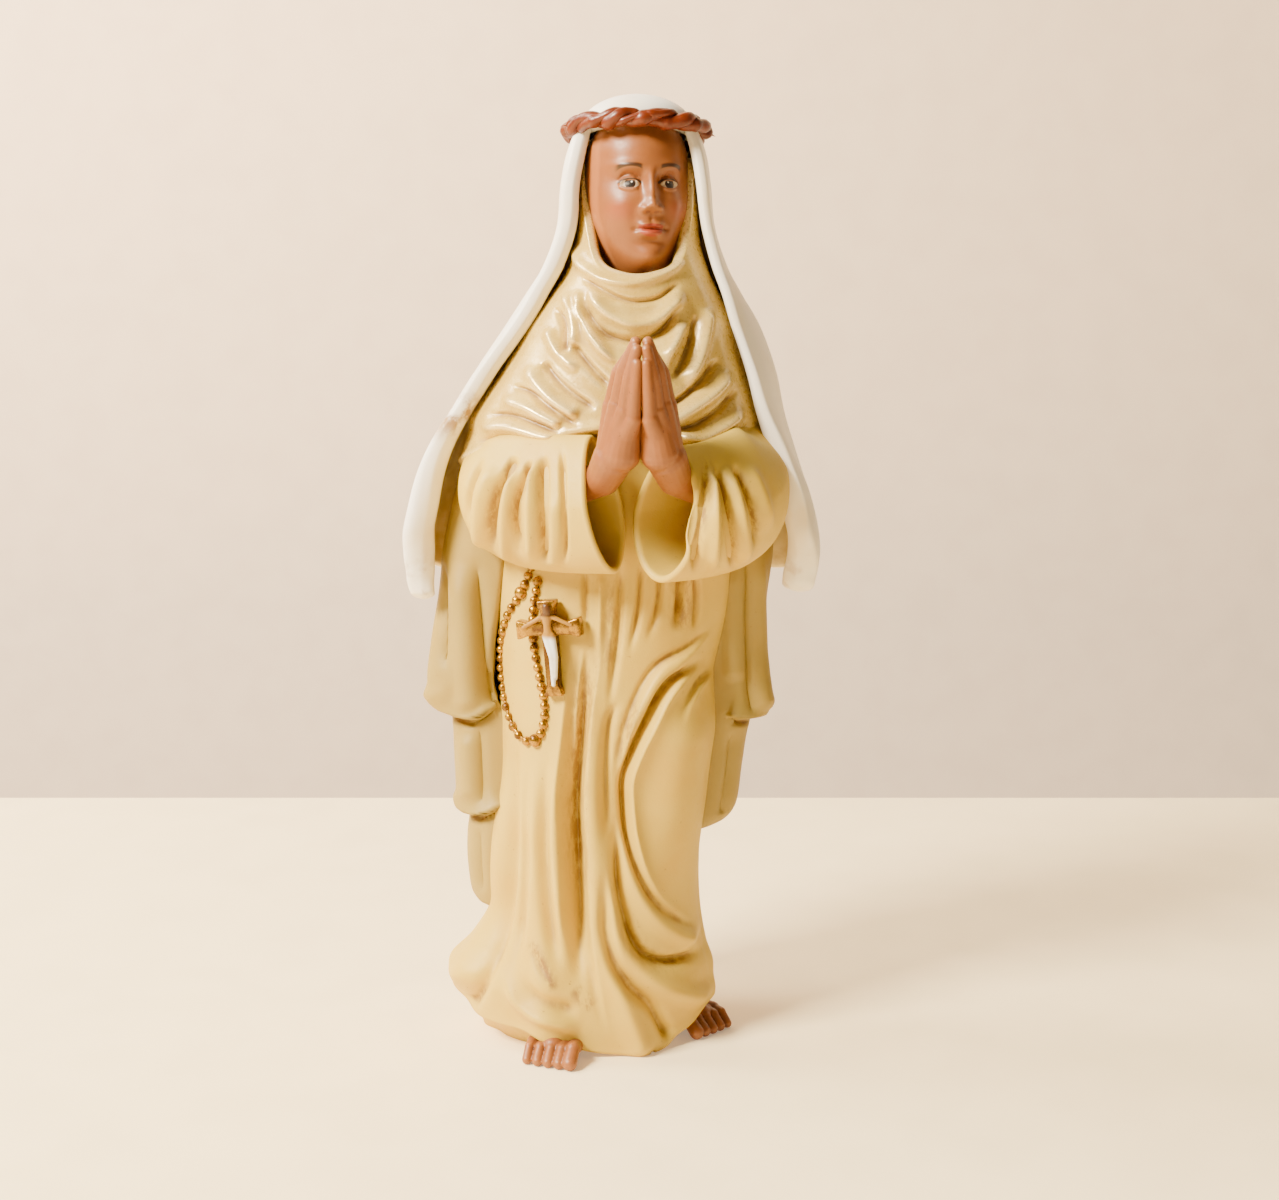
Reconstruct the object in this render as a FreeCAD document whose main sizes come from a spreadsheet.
"""Standing devotional statue of a veiled nun at prayer, as a bench assembly of cast and painted pieces.

Row frame: millimetres, +Z up, the figure faces -Y, and the origin lies on the flat underside of the habit.
Every piece is a solid of its own that seats on its neighbours face to face, with a spigot and socket where
the real casting is pegged and glued.
"""
import FreeCAD, Part

import math
import os

doc = FreeCAD.newDocument("statue")
dims = doc.addObject("Spreadsheet::Sheet", "dims")
next_row = [1]
pieces = []


# ---------------------------------------------------------------------------------------------- the sheet

def cell(alias, value):
    """Puts one driving dimension in the sheet under its alias and returns the expression that reads it."""
    address = "A%d" % next_row[0]
    next_row[0] += 1
    dims.set(address, str(value))
    dims.setAlias(address, alias)
    return "dims." + alias


def cells(stem, **values):
    """One sheet cell for each named value; returns the expressions by name."""
    return {name: cell(stem + "_" + name, value) for name, value in values.items()}


wall = cells("wall", veil=2.0, cuff=1.4)
fit = cells("fit", socket=0.08)
peg = cells("peg", neck_radius=4.2, neck_depth=9.0, wrist_radius=2.1, wrist_length=9.0)
bead = cells("bead", radius=0.75, large=1.05, sunk=0.02)
gilt = cells("gilt", bar_width=2.2, bar_thick=1.3, upright=15.4, cross_arm=10.4, end_flare=0.45)
doc.recompute()


def value_of(expression):
    return float(getattr(dims, expression.split(".")[1]))


# ------------------------------------------------------------------------------------- building blocks

def place(thing, centre, rotation=None):
    """Binds the placement's position to sheet cells named after the object and sets its turn."""
    stem = thing.Name.lower()
    thing.Placement = FreeCAD.Placement(FreeCAD.Vector(*centre), rotation or FreeCAD.Rotation())
    for axis, value in zip("xyz", centre):
        thing.setExpression("Placement.Base." + axis, cell(stem + "_at_" + axis, value))
    return thing


def ellipse(name, centre, half_x, half_y, rotation=None, inset=None):
    """A closed elliptical section; half_x lies along its own X. An inset expression shrinks both half axes."""
    section = doc.addObject("Part::Ellipse", name)
    size = cells(name.lower(), half_x=half_x, half_y=half_y)
    turn = rotation or FreeCAD.Rotation()
    less = " - " + inset if inset else ""
    if half_x >= half_y:
        section.setExpression("MajorRadius", size["half_x"] + less)
        section.setExpression("MinorRadius", size["half_y"] + less)
    else:
        section.setExpression("MajorRadius", size["half_y"] + less)
        section.setExpression("MinorRadius", size["half_x"] + less)
        turn = turn.multiply(FreeCAD.Rotation(FreeCAD.Vector(0, 0, 1), 90))
    return place(section, centre, turn)


def loft(name, sections, ruled=False):
    made = doc.addObject("Part::Loft", name)
    made.Sections = sections
    made.Solid = True
    made.Ruled = ruled
    return made


def level_loft(name, levels, inset=None):
    """A loft through level elliptical sections: each level is (z, centre x, centre y, half width, half depth)."""
    sections = [
        ellipse("%s_level_%s" % (name, "abcdefghijkl"[i]), (cx, cy, z), half_w, half_d, None, inset)
        for i, (z, cx, cy, half_w, half_d) in enumerate(levels)
    ]
    return loft(name, sections)


def aimed(direction, up=(0, 0, 1)):
    """The turn that aims local Z along direction, with local X as near to up as it can be."""
    z = FreeCAD.Vector(*direction).normalize()
    y = z.cross(FreeCAD.Vector(*up)).normalize()
    x = y.cross(z)
    return FreeCAD.Rotation(x, y, z, "ZXY")


def cut(name, base, *tools):
    """base less every tool, as a chain of cuts; the last one carries the name."""
    for i, tool in enumerate(tools):
        last = i == len(tools) - 1
        step = doc.addObject("Part::Cut", name if last else "%s_less_%d" % (name, i))
        step.Base = base
        step.Tool = tool
        step.Refine = False
        base = step
    return base


def fuse(name, shapes):
    made = doc.addObject("Part::MultiFuse", name)
    made.Shapes = shapes
    made.Refine = False
    return made


def box(name, corner, size, rotation=None):
    made = doc.addObject("Part::Box", name)
    for side, value in zip(("Length", "Width", "Height"), size):
        made.setExpression(side, cell("%s_%s" % (name.lower(), side.lower()), value))
    return place(made, corner, rotation)


def peg_between(name, start, end, radius_start, radius_end=None):
    """A round or tapered peg from one point to another."""
    run = FreeCAD.Vector(*end) - FreeCAD.Vector(*start)
    made = doc.addObject("Part::Cone", name)
    size = cells(name.lower(), foot=radius_start, tip=radius_end or radius_start * 0.999, long=run.Length)
    made.setExpression("Radius1", size["foot"])
    made.setExpression("Radius2", size["tip"])
    made.setExpression("Height", size["long"])
    return place(made, start, aimed(run, (1, 0, 0) if abs(run.z) > 0.9 * run.Length else (0, 0, 1)))


def ellipsoid(name, centre, half_x, half_y, half_z, rotation=None):
    """An ellipsoid with its three half axes in the sheet; Radius1 lies along Z, Radius2 and Radius3 across."""
    made = doc.addObject("Part::Ellipsoid", name)
    size = cells(name.lower(), half_x=half_x, half_y=half_y, half_z=half_z)
    made.setExpression("Radius1", size["half_z"])
    made.setExpression("Radius2", size["half_x"])
    made.setExpression("Radius3", size["half_y"])
    return place(made, centre, rotation)


def piece(thing, node):
    """Marks an object as one physical piece: its Label names its STEP file."""
    thing.Label = node
    pieces.append(thing)
    return thing


# ------------------------------------------------------------------------------------ the habit's body
# Tunic from the flat underside at z = 0 to the neck seat: flared hem, weight on one leg, slim shoulders.

tunic_levels = [
    (0.0, -4.5, -2.5, 19.0, 15.5),
    (9.0, -4.5, -2.5, 20.8, 16.5),
    (30.0, -2.8, -1.5, 16.6, 13.6),
    (52.0, -1.0, -1.5, 19.6, 14.4),
    (72.0, 0.6, -0.5, 20.0, 13.6),
    (92.0, 2.0, 0.5, 16.6, 11.6),
    (106.0, 3.0, 1.0, 13.0, 9.6),
    (116.0, 3.6, 0.8, 8.2, 7.8),
    (121.0, 3.8, 0.2, 6.6, 6.6),
]
HEAD_CENTRE = (3.8, -2.2, 136.2)
NECK_FOOT = (3.8, 0.2, 112.5)
NECK_TOP = (3.8, -1.6, 129.0)

tunic_blank = level_loft("tunic_blank", tunic_levels)
neck_socket = peg_between("neck_socket", NECK_FOOT, NECK_TOP, value_of(peg["neck_radius"]) + value_of(fit["socket"]))

# ------------------------------------------------------------------------------------------ the feet
# Bare feet: the right one (at -X) steps forward under the hem, the left one (at +X) shows beside it.

INSTEP_RISE, TOE_ROOT_RISE = 3.2, 1.9
INSTEP_RADII = (3.4, 3.5)
TOE_PITCH = 1.75

def foot(side, heel, toe_root, splay_deg, toe_sizes):
    """Instep from heel to toe root with five toes fanned across the front, cut level with the ground."""
    turn = math.radians(splay_deg)
    across = FreeCAD.Vector(math.cos(turn), math.sin(turn), 0)
    ahead = FreeCAD.Vector(math.sin(turn), -math.cos(turn), 0)
    instep = peg_between(side + "_instep", (*heel, INSTEP_RISE), (*toe_root, TOE_ROOT_RISE), *INSTEP_RADII)
    toes = []
    for i, (length, radius) in enumerate(toe_sizes):
        at = FreeCAD.Vector(*toe_root, radius * 0.9) + across * ((i - 2) * TOE_PITCH) + ahead * (length * 0.55)
        toes.append(ellipsoid("%s_toe_%s" % (side, "abcde"[i]), tuple(at), radius, length, radius,
                              FreeCAD.Rotation(FreeCAD.Vector(0, 0, 1), splay_deg)))
    below = box(side + "_ground", (heel[0] - 30, heel[1] - 30, -10), (60, 60, 10))
    return cut(side + "_blank", fuse(side + "_cast", [instep] + toes), below)


TOES_SMALL_TO_BIG = [(2.3, 1.0), (2.7, 1.05), (3.0, 1.1), (3.3, 1.15), (3.5, 1.45)]
right_foot_blank = foot("right_foot", (-8.5, -8.0), (-9.6, -19.0), -10.0, TOES_SMALL_TO_BIG)
left_foot_blank = foot("left_foot", (8.0, 2.0), (13.8, -6.0), 38.0, TOES_SMALL_TO_BIG[::-1])

habit_body = piece(cut("habit_body_solid", tunic_blank, neck_socket, right_foot_blank, left_foot_blank), "habit_body")
right_foot = piece(right_foot_blank, "right_foot")
left_foot = piece(left_foot_blank, "left_foot")

# ------------------------------------------------------------------------------------------ the head
# Head with the neck as its locating spigot.

skull = ellipsoid("skull", HEAD_CENTRE, 8.2, 9.8, 11.7)
jaw = ellipsoid("jaw", (3.8, -6.2, 129.6), 5.6, 4.6, 5.4)
neck = peg_between("neck", NECK_FOOT, NECK_TOP, value_of(peg["neck_radius"]))
head = piece(fuse("head_solid", [skull, jaw, neck]), "head")

# ------------------------------------------------------------------------------------------ the cowl
# Pearl-finished cowl: over the shoulders and chest, up round the throat to the chin.

cowl_levels = [
    (90.0, 2.0, -1.0, 22.0, 14.4),
    (98.0, 2.2, -1.2, 21.4, 14.2),
    (106.0, 2.8, -1.0, 17.4, 13.0),
    (114.0, 3.5, -1.0, 12.0, 11.0),
    (120.0, 3.8, -1.6, 9.4, 9.8),
    (126.0, 3.8, -1.6, 9.0, 9.9),
]
cowl_blank = level_loft("cowl_blank", cowl_levels)
cowl_under = box("cowl_under", (-40, -40, 80), (80, 80, 12.5))
cowl = piece(cut("cowl_solid", cowl_blank, cowl_under, tunic_blank, neck_socket, skull, jaw), "cowl")

# ---------------------------------------------------------------------------------------- the sleeves
# Wide bell sleeves: from under the cowl to the elbow, then forward and inward to a hanging cuff that is
# taller than it is thick, so each run of the cuff is a pair of tapers, one above the other.

BODY_MIDDLE_X = 3.0
PALM_PLANE_X = 4.6


def mirrored(point, middle, flip):
    return (2 * middle - point[0], point[1], point[2]) if flip else point


def sleeve(side, flip):
    """The sleeve's outer shape and the hollow of its cuff, for the arm at -X unless flipped."""
    def at(*point):
        return mirrored(point, BODY_MIDDLE_X, flip)

    outer = [
        peg_between(side + "_upper_arm", at(-12.6, 1.2, 103.0), at(-16.2, -2.4, 90.0), 6.0, 7.6),
        ellipsoid(side + "_elbow", at(-16.4, -3.4, 87.0), 7.6, 8.2, 10.8),
    ]
    hollow = []
    for level, z_elbow, z_cuff in (("high", 90.2, 90.8), ("low", 84.2, 83.0)):
        elbow, cuff = FreeCAD.Vector(*at(-16.0, -4.6, z_elbow)), FreeCAD.Vector(*at(-5.0, -20.8, z_cuff))
        outer.append(peg_between("%s_cuff_%s" % (side, level), tuple(elbow), tuple(cuff), 6.4, 6.0))
        inside, beyond = elbow + (cuff - elbow) * 0.55, elbow + (cuff - elbow) * 1.08
        radius = 6.0 - value_of(wall["cuff"])
        hollow.append(peg_between("%s_hollow_%s" % (side, level), tuple(inside), tuple(beyond), radius, radius + 0.3))
    return fuse(side + "_sleeve_cast", outer), outer[:2], hollow


right_sleeve_blank, right_arm, right_hollow = sleeve("right", False)
left_sleeve_blank, left_arm, left_hollow = sleeve("left", True)

# ------------------------------------------------------------------------------------------ the hands
# Hands raised palm to palm. Each forearm is a peg that runs through the cuff and seats in its sleeve.

FINGERS = [  # root offset front to back, tip offset front to back, tip rise
    (-2.5, -1.6, 0.9), (-0.8, -0.5, 2.0), (0.8, 0.5, 2.1), (2.5, 1.6, 1.2)
]


def hand(side, flip):
    """Palm, four fingers that lean on the other hand's, a thumb, and the forearm peg on its own."""
    def at(*point):
        return mirrored(point, PALM_PLANE_X, flip)

    tilt = aimed((-0.20 if flip else 0.20, -0.26, 0.94), (0, -1, 0))
    solids = [
        ellipsoid(side + "_heel_of_hand", at(0.2, -23.8, 96.4), 3.4, 3.0, 4.4, tilt),
        ellipsoid(side + "_palm", at(1.6, -25.8, 101.4), 3.7, 2.2, 4.6, tilt),
    ]
    for i, (root, tip, rise) in enumerate(FINGERS):
        letter = "abcd"[i]
        tip_at = at(3.8, -28.4 + tip, 110.2 + rise)
        solids.append(peg_between("%s_finger_%s" % (side, letter), at(2.2, -26.6 + root, 103.0), tip_at, 1.2, 0.8))
        solids.append(ellipsoid("%s_fingertip_%s" % (side, letter), tip_at, 0.8, 0.8, 0.85))
    solids.append(peg_between(side + "_thumb", at(1.2, -22.6, 97.6), at(3.2, -24.2, 106.8), 1.5, 0.95))
    forearm = peg_between(side + "_forearm", at(-8.6, -13.6, 88.0), at(0.1, -23.6, 94.6), 2.2, 2.4)
    return fuse(side + "_hand_cast", solids + [forearm]), forearm


right_hand_blank, right_forearm = hand("right", False)
left_hand_blank, left_forearm = hand("left", True)
palm_split_right = box("palm_split_right", (PALM_PLANE_X, -60, 60), (60, 120, 80))
palm_split_left = box("palm_split_left", (PALM_PLANE_X - 60, -60, 60), (60, 120, 80))
right_hand = piece(cut("right_hand_solid", right_hand_blank, palm_split_right), "right_hand")
left_hand = piece(cut("left_hand_solid", left_hand_blank, palm_split_left), "left_hand")
right_sleeve = piece(
    cut("right_sleeve_solid", right_sleeve_blank, tunic_blank, cowl_blank, *right_hollow, right_hand_blank),
    "right_sleeve",
)
left_sleeve = piece(
    cut("left_sleeve_solid", left_sleeve_blank, tunic_blank, cowl_blank, *left_hollow, left_hand_blank),
    "left_sleeve",
)

# -------------------------------------------------------------------------------------------- the veil
# White outer veil: a shell over the head, open at the front, flaring to the elbows and bonded on the mantle.

veil_levels = [
    (70.5, 0.0, 4.0, 31.0, 13.0),
    (78.0, 0.0, 3.6, 33.4, 14.6),
    (92.0, 0.0, 3.4, 29.8, 15.2),
    (104.0, 1.2, 3.2, 24.4, 14.6),
    (115.0, 3.0, 2.0, 17.6, 13.0),
    (126.0, 3.8, 0.4, 12.2, 12.2),
    (137.0, 3.8, -0.8, 11.0, 11.9),
    (144.0, 3.8, -1.2, 9.8, 10.6),
    (148.6, 3.8, -1.2, 6.0, 6.6),
    (150.0, 3.8, -1.2, 2.2, 2.4),
]
veil_outer = level_loft("veil_outer", veil_levels)
veil_inner_levels = veil_levels[:-2] + [(147.6, 3.8, -1.2, 5.0, 5.6)]
veil_inner = level_loft("veil_inner", [(60.0, 0.0, 4.0, 29.0, 12.0)] + veil_inner_levels, wall["veil"])
face_opening = box("face_opening", (-45, -45, 50), (90, 39.5, 93.6))
veil_blank = cut("veil_blank", veil_outer, veil_inner, face_opening)
veil = piece(cut("veil_solid", veil_blank, skull, cowl_blank), "veil")

# ------------------------------------------------------------------------------------------ the mantle
# Cream mantle at the back: shoulders to shins, its front edges falling in stepped ends at both sides.

mantle_levels = [
    (20.5, -1.5, 2.8, 20.6, 11.0),
    (36.0, -1.5, 3.0, 22.4, 12.0),
    (52.0, -1.5, 3.2, 26.4, 13.0),
    (66.0, -1.5, 3.4, 27.2, 13.4),
    (84.0, -0.4, 3.0, 26.6, 13.6),
    (104.0, 1.6, 2.6, 20.8, 13.4),
]
mantle_blank = level_loft("mantle_blank", mantle_levels)
mantle_front = box("mantle_front", (-45, -45, 10), (90, 45.5, 110))
step_right_low = box("step_right_low", (-45, -2, 10), (22.6, 12, 24.8))
step_right_high = box("step_right_high", (-45, -2, 10), (20.4, 12, 41.0))
step_left_low = box("step_left_low", (17.0, -2, 10), (30, 30, 23.0))
step_left_high = box("step_left_high", (20.6, -2, 10), (30, 30, 41.5))
mantle = piece(
    cut("mantle_solid", mantle_blank, mantle_front, step_right_low, step_right_high, step_left_low,
        step_left_high, tunic_blank, cowl_blank, *right_arm, *left_arm, veil_blank),
    "mantle",
)

# -------------------------------------------------------------------------------------- crown of thorns
# A ring of woven cane round the veil, higher at the brow, with five thorn stubs.

CROWN_CENTRE = (3.8, -1.2, 144.3)
CROWN_TILT_DEG = -8.0
THORN_BEARINGS_DEG = (20, 110, 200, 290, 335)
THORN_LENGTH = 1.9
crown_size = cells("crown", ring=10.2, cane=1.15)
crown_turn = FreeCAD.Rotation(FreeCAD.Vector(1, 0, 0), CROWN_TILT_DEG)
ring = doc.addObject("Part::Torus", "ring")
ring.setExpression("Radius1", crown_size["ring"])
ring.setExpression("Radius2", crown_size["cane"])
place(ring, CROWN_CENTRE, crown_turn)
thorns = []
for i, bearing in enumerate(THORN_BEARINGS_DEG):
    turn = math.radians(bearing)
    out = crown_turn.multVec(FreeCAD.Vector(math.cos(turn), math.sin(turn), 0.15))
    root = FreeCAD.Vector(*CROWN_CENTRE) + out * 10.4
    thorns.append(peg_between("thorn_%s" % "abcde"[i], tuple(root), tuple(root + out * THORN_LENGTH), 0.7, 0.25))
crown = piece(cut("crown_solid", fuse("crown_cast", [ring] + thorns), veil_outer), "crown_of_thorns")

# ---------------------------------------------------------------------------------- rosary and crucifix
# A gilt rosary cast in relief, bonded to the habit below the right sleeve, with its crucifix beside the loop.

doc.recompute()


def surface_y(x, z):
    """The Y of the tunic's front surface at x, z."""
    probe = Part.makeLine(FreeCAD.Vector(x, -60, z), FreeCAD.Vector(x, 0, z))
    return min(v.Y for v in tunic_blank.Shape.common(probe).Vertexes)


LOOP_CORNERS = [  # x, z down one strand and up the other
    (-12.6, 76.0), (-14.4, 73.2), (-16.6, 69.4), (-17.8, 64.6), (-17.8, 59.4), (-16.9, 54.4), (-15.2, 51.0),
    (-13.0, 50.0), (-11.2, 51.6), (-10.6, 55.6), (-11.4, 60.4), (-12.3, 65.2), (-12.4, 70.0), (-11.6, 74.4),
]
BEAD_PITCH = 1.62
LARGE_BEADS = (7, 27)
CROSS_CENTRE = (-9.8, 68.4)  # x, z of the middle of the beam
CROSS_LEAN_DEG = -5.0
CROSS_TURN_DEG = -14.0  # follows the habit's curve away from the middle
BEAM_COVERS = (6.3, 2.0)  # how far the beam hides the strand along and across itself


def spaced_along(corners, pitch):
    """Points one pitch apart along the smooth curve through the corners."""
    curve = Part.BSplineCurve()
    curve.interpolate([FreeCAD.Vector(x, 0, z) for x, z in corners])
    edge = curve.toShape()
    count = int(edge.Length / pitch)
    return [edge.valueAt(edge.getParameterByLength(edge.Length * i / count)) for i in range(count + 1)]


def under_the_cross(point):
    """True where the crucifix lies over the strand."""
    along, across = BEAM_COVERS
    return point.x > CROSS_CENTRE[0] - along and abs(point.z - CROSS_CENTRE[1]) < across


beads = []
for i, point in enumerate(spaced_along(LOOP_CORNERS, BEAD_PITCH)):
    if under_the_cross(point):
        continue
    made = doc.addObject("Part::Sphere", "bead_%02d" % i)
    size = bead["large"] if i in LARGE_BEADS else bead["radius"]
    made.setExpression("Radius", size)
    proud = value_of(size) - value_of(bead["sunk"])
    beads.append(place(made, (point.x, surface_y(point.x, point.z) - proud, point.z)))
bead_group = doc.addObject("Part::Compound", "bead_group")
bead_group.Links = beads
rosary_beads = piece(bead_group, "rosary_beads")

CROSS_FRONT = 1.9  # the cross's face stands this far off the habit
STEM_ROOT = 1.6  # the upright is deeper than the beam, so that it beds into the habit
CAP = 1.0  # length of the flared end of each arm
cross_y = surface_y(*CROSS_CENTRE) - CROSS_FRONT
cross_turn = FreeCAD.Rotation(FreeCAD.Vector(0, 1, 0), -CROSS_LEAN_DEG).multiply(
    FreeCAD.Rotation(FreeCAD.Vector(0, 0, 1), CROSS_TURN_DEG)
)


def on_cross(x, y, z):
    """A point given from the middle of the beam: along the beam, into the habit, up the stem."""
    return tuple(FreeCAD.Vector(CROSS_CENTRE[0], cross_y, CROSS_CENTRE[1]) + cross_turn.multVec(FreeCAD.Vector(x, y, z)))


def bar(name, corner, size):
    return box(name, on_cross(*corner), size, cross_turn)


BAR, THICK = value_of(gilt["bar_width"]), value_of(gilt["bar_thick"])
UPRIGHT, CROSS_ARM, FLARE = value_of(gilt["upright"]), value_of(gilt["cross_arm"]), value_of(gilt["end_flare"])
HEAD_RISE = 4.4  # top of the upright above the middle of the beam
FLARED = BAR + 2 * FLARE
cross_bars = [
    bar("cross_upright", (-BAR / 2, 0, HEAD_RISE - UPRIGHT), (BAR, THICK + STEM_ROOT, UPRIGHT)),
    bar("cross_beam", (-CROSS_ARM / 2, 0, -BAR / 2), (CROSS_ARM, THICK, BAR)),
    bar("cap_top", (-FLARED / 2, -FLARE / 2, HEAD_RISE - CAP), (FLARED, THICK, CAP)),
    bar("cap_foot", (-FLARED / 2, -FLARE / 2, HEAD_RISE - UPRIGHT), (FLARED, THICK, CAP)),
    bar("cap_right", (-CROSS_ARM / 2, -FLARE / 2, -FLARED / 2), (CAP, THICK, FLARED)),
    bar("cap_left", (CROSS_ARM / 2 - CAP, -FLARE / 2, -FLARED / 2), (CAP, THICK, FLARED)),
]
cross_cast = fuse("cross_cast", cross_bars)
crucifix = piece(cut("crucifix_solid", cross_cast, tunic_blank, bead_group), "crucifix")

# The figure on the cross: head, chest, two arms, a cloth at the waist and the legs.
figure_parts = [
    ellipsoid("figure_head", on_cross(0.1, -0.9, 1.0), 0.55, 0.55, 0.7),
    peg_between("figure_chest", on_cross(0, -0.3, 0.6), on_cross(0, -0.3, -3.0), 0.85, 0.6),
    peg_between("figure_cloth", on_cross(0, -0.3, -2.6), on_cross(0, -0.3, -5.2), 0.95, 0.8),
    peg_between("figure_legs", on_cross(0, -0.3, -5.0), on_cross(0, -0.2, -8.4), 0.75, 0.45),
    peg_between("figure_arm_right", on_cross(-0.4, -0.2, -0.1), on_cross(-4.2, -0.15, 0.3), 0.42, 0.3),
    peg_between("figure_arm_left", on_cross(0.4, -0.2, -0.1), on_cross(4.2, -0.15, 0.3), 0.42, 0.3),
]
corpus = piece(cut("corpus_solid", fuse("corpus_cast", figure_parts), cross_cast), "corpus")


# ---------------------------------------------------------------------------------------- check, write

doc.recompute()
faulty = [thing.Name for thing in doc.Objects if {"Invalid", "Error"} & set(thing.State)]
if faulty:
    raise SystemExit("failed objects: %s" % faulty)
for thing in pieces:
    shape = thing.Shape
    if shape.isNull() or not shape.isValid() or not shape.Solids:
        raise SystemExit("%s has no valid solid" % thing.Label)

os.makedirs("parts", exist_ok=True)
for thing in pieces:
    thing.Shape.exportStep(os.path.join("parts", thing.Label + ".step"))
    box_of = thing.Shape.BoundBox
    print("%-16s %2d solids %8.0f mm3  x %6.1f..%5.1f  y %6.1f..%5.1f  z %6.1f..%5.1f" % (
        thing.Label, len(thing.Shape.Solids), thing.Shape.Volume, box_of.XMin, box_of.XMax, box_of.YMin,
        box_of.YMax, box_of.ZMin, box_of.ZMax))
